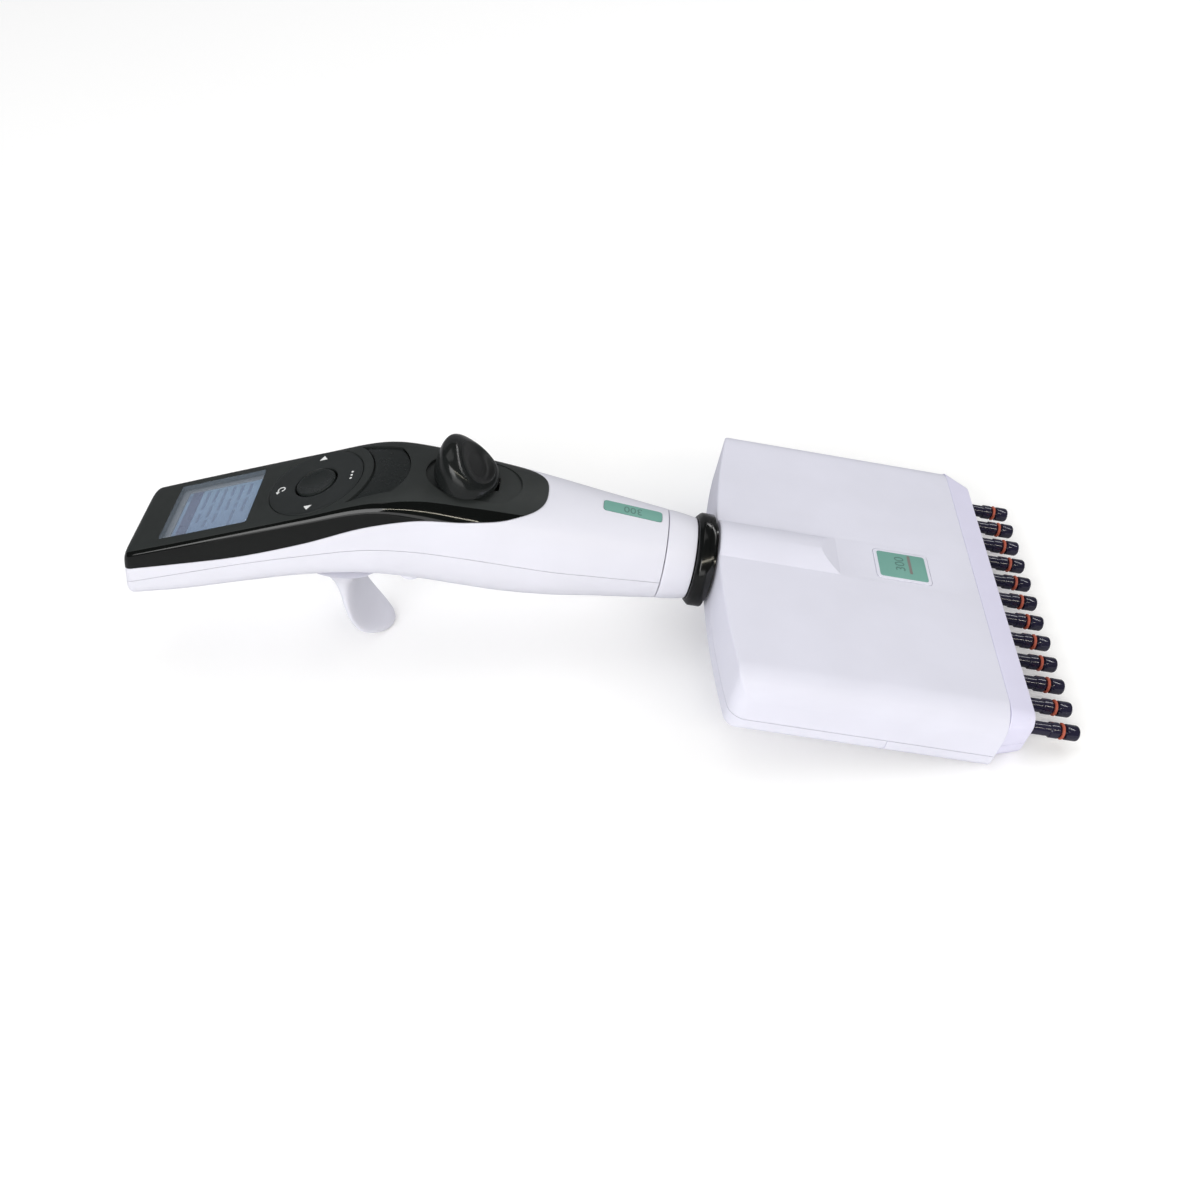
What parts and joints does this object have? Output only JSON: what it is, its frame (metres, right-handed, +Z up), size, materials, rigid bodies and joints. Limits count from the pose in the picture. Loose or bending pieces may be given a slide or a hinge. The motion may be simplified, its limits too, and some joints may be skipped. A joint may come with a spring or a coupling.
{
  "type": "electronic multichannel pipette",
  "caption": "Hand-held electronic pipette with a display head, finger hook and thumb ejector; its wide swivelling manifold carries a row of nozzles",
  "frame": {"origin": "bottom centre of the bounding box of the whole pipette as it lies at rest, face up, on its finger hook and on the lower edge of its manifold", "axes": "+X runs from the display end towards the nozzles, +Z up from the surface it lies on, +Y to the left seen from the display end; the pipette's own axis tips about 11.7 degrees down towards the nozzles"},
  "size_m": [0.2814, 0.117, 0.0703],
  "materials": {
    "white_plastic": "satin lavender-white moulding",
    "black_plastic": "black, glossy on its sides",
    "satin_black_plastic": "satin black",
    "teal_plastic": "satin grey-green",
    "window_glass": "clear, slightly blue",
    "display_panel": "pale blue liquid crystal panel",
    "circuit_board": "solder mask",
    "battery_wrap": "plain film wrap",
    "silicone_rubber": "matt",
    "grey_polymer": "moulded",
    "motor_can": "brushed",
    "steel": "ground and polished",
    "brass": "plated",
    "aluminium": "bead blasted",
    "black_nozzle": "glossy black with a rubber ring in its groove"
  },
  "bodies": {
    "handle": {"back_shell": "white_plastic", "front_shell": "white_plastic", "control_panel": "black_plastic", "handle_badge": "teal_plastic", "display_window": "window_glass", "lcd_module": "display_panel", "main_pcb": "circuit_board", "battery": "battery_wrap", "keypad_mat": "silicone_rubber", "charging_contacts": "brass", "case_screw_1": "steel", "case_screw_2": "steel", "case_screw_3": "steel", "chassis": "grey_polymer", "motor_stator": "motor_can", "motor_bearing_rear": "steel", "motor_bearing_front": "steel", "spring_seat": "grey_polymer", "ejector_spring": "steel", "neck_ring": "white_plastic", "neck_bush": "grey_polymer"},
    "wheel_rocker": {"wheel_rocker_plate": "black_plastic"},
    "wheel": {"touch_wheel": "satin_black_plastic"},
    "ok_key": {"ok_button": "satin_black_plastic"},
    "run_key": {"run_button": "black_plastic"},
    "ejector_drive": {"ejector_button": "satin_black_plastic", "ejector_slider": "steel", "ejector_push_tube": "steel"},
    "rotor": {"motor_rotor": "aluminium"},
    "screw": {"lead_screw": "steel"},
    "manifold": {"swivel_hub": "grey_polymer", "hub_clip": "steel", "swivel_collar": "black_plastic", "manifold_front_cover": "white_plastic", "manifold_back_cover": "white_plastic", "front_badge": "teal_plastic", "cylinder_block": "grey_polymer", "seal_plate": "aluminium", "piston_seal": "silicone_rubber", "guide_rod_1": "steel", "guide_rod_2": "steel", "cover_screw_1": "steel", "cover_screw_2": "steel", "nozzle_01": "black_nozzle", "nozzle_02": "black_nozzle", "nozzle_03": "black_nozzle", "nozzle_04": "black_nozzle", "nozzle_05": "black_nozzle", "nozzle_06": "black_nozzle", "nozzle_07": "black_nozzle", "nozzle_08": "black_nozzle", "nozzle_09": "black_nozzle", "nozzle_10": "black_nozzle", "nozzle_11": "black_nozzle", "nozzle_12": "black_nozzle"},
    "tip_ejector": {"ejector_shroud": "white_plastic", "ejector_frame": "grey_polymer"},
    "pistons": {"piston_bar": "aluminium", "piston_comb": "steel", "coupling_plate": "steel"}
  },
  "joints": [
    {"name": "manifold_swivel", "type": "hinge", "parent": "handle", "child": "manifold", "pos_m": [0.03069, 0, 0.02746], "axis": [0.9793, 0, -0.2024], "continuous": true},
    {"name": "ejector_button_slide", "type": "slide", "parent": "handle", "child": "ejector_drive", "axis": [0.9793, 0, -0.2024], "range_m": [0, 0.009], "stiffness_N_per_m": 400, "springref_m": -0.008, "deforming": ["ejector_spring"]},
    {"name": "tip_ejector_slide", "type": "slide", "parent": "manifold", "child": "tip_ejector", "axis": [0.9793, 0, -0.2024], "range_m": [0, 0.009]},
    {"name": "rotor_spin", "type": "hinge", "parent": "handle", "child": "rotor", "pos_m": [-0.04275, 0, 0.04264], "axis": [0.9793, 0, -0.2024], "range_deg": [0, 2700]},
    {"name": "lead_screw_slide", "type": "slide", "parent": "handle", "child": "screw", "axis": [0.9793, 0, -0.2024], "range_m": [0, 0.015]},
    {"name": "piston_slide", "type": "slide", "parent": "manifold", "child": "pistons", "axis": [0.9793, 0, -0.2024], "range_m": [0, 0.015]},
    {"name": "wheel_tilt_lengthwise", "type": "hinge", "parent": "handle", "child": "wheel_rocker", "pos_m": [-0.0792, 0, 0.05351], "axis": [0, 1, 0], "range_deg": [-1.2, 1.2], "stiffness_Nm_per_rad": 0.2},
    {"name": "wheel_tilt_sideways", "type": "hinge", "parent": "wheel_rocker", "child": "wheel", "pos_m": [-0.07929, 0, 0.0539], "axis": [0.9716, 0, 0.2366], "range_deg": [-1.2, 1.2], "stiffness_Nm_per_rad": 0.2},
    {"name": "ok_button_press", "type": "slide", "parent": "handle", "child": "ok_key", "axis": [0.2366, 0, -0.9716], "range_m": [0, 0.0005], "stiffness_N_per_m": 1500, "springref_m": -0.0004},
    {"name": "run_button_press", "type": "slide", "parent": "handle", "child": "run_key", "axis": [0.2366, 0, -0.9716], "range_m": [0, 0.0006], "stiffness_N_per_m": 1500, "springref_m": -0.0004}
  ],
  "couplings": [
    {"joint": "tip_ejector_slide", "follows": "ejector_button_slide", "ratio": 1},
    {"joint": "rotor_spin", "follows": "lead_screw_slide", "rad_per_m": 3141.6},
    {"joint": "piston_slide", "follows": "lead_screw_slide", "ratio": 1}
  ]
}
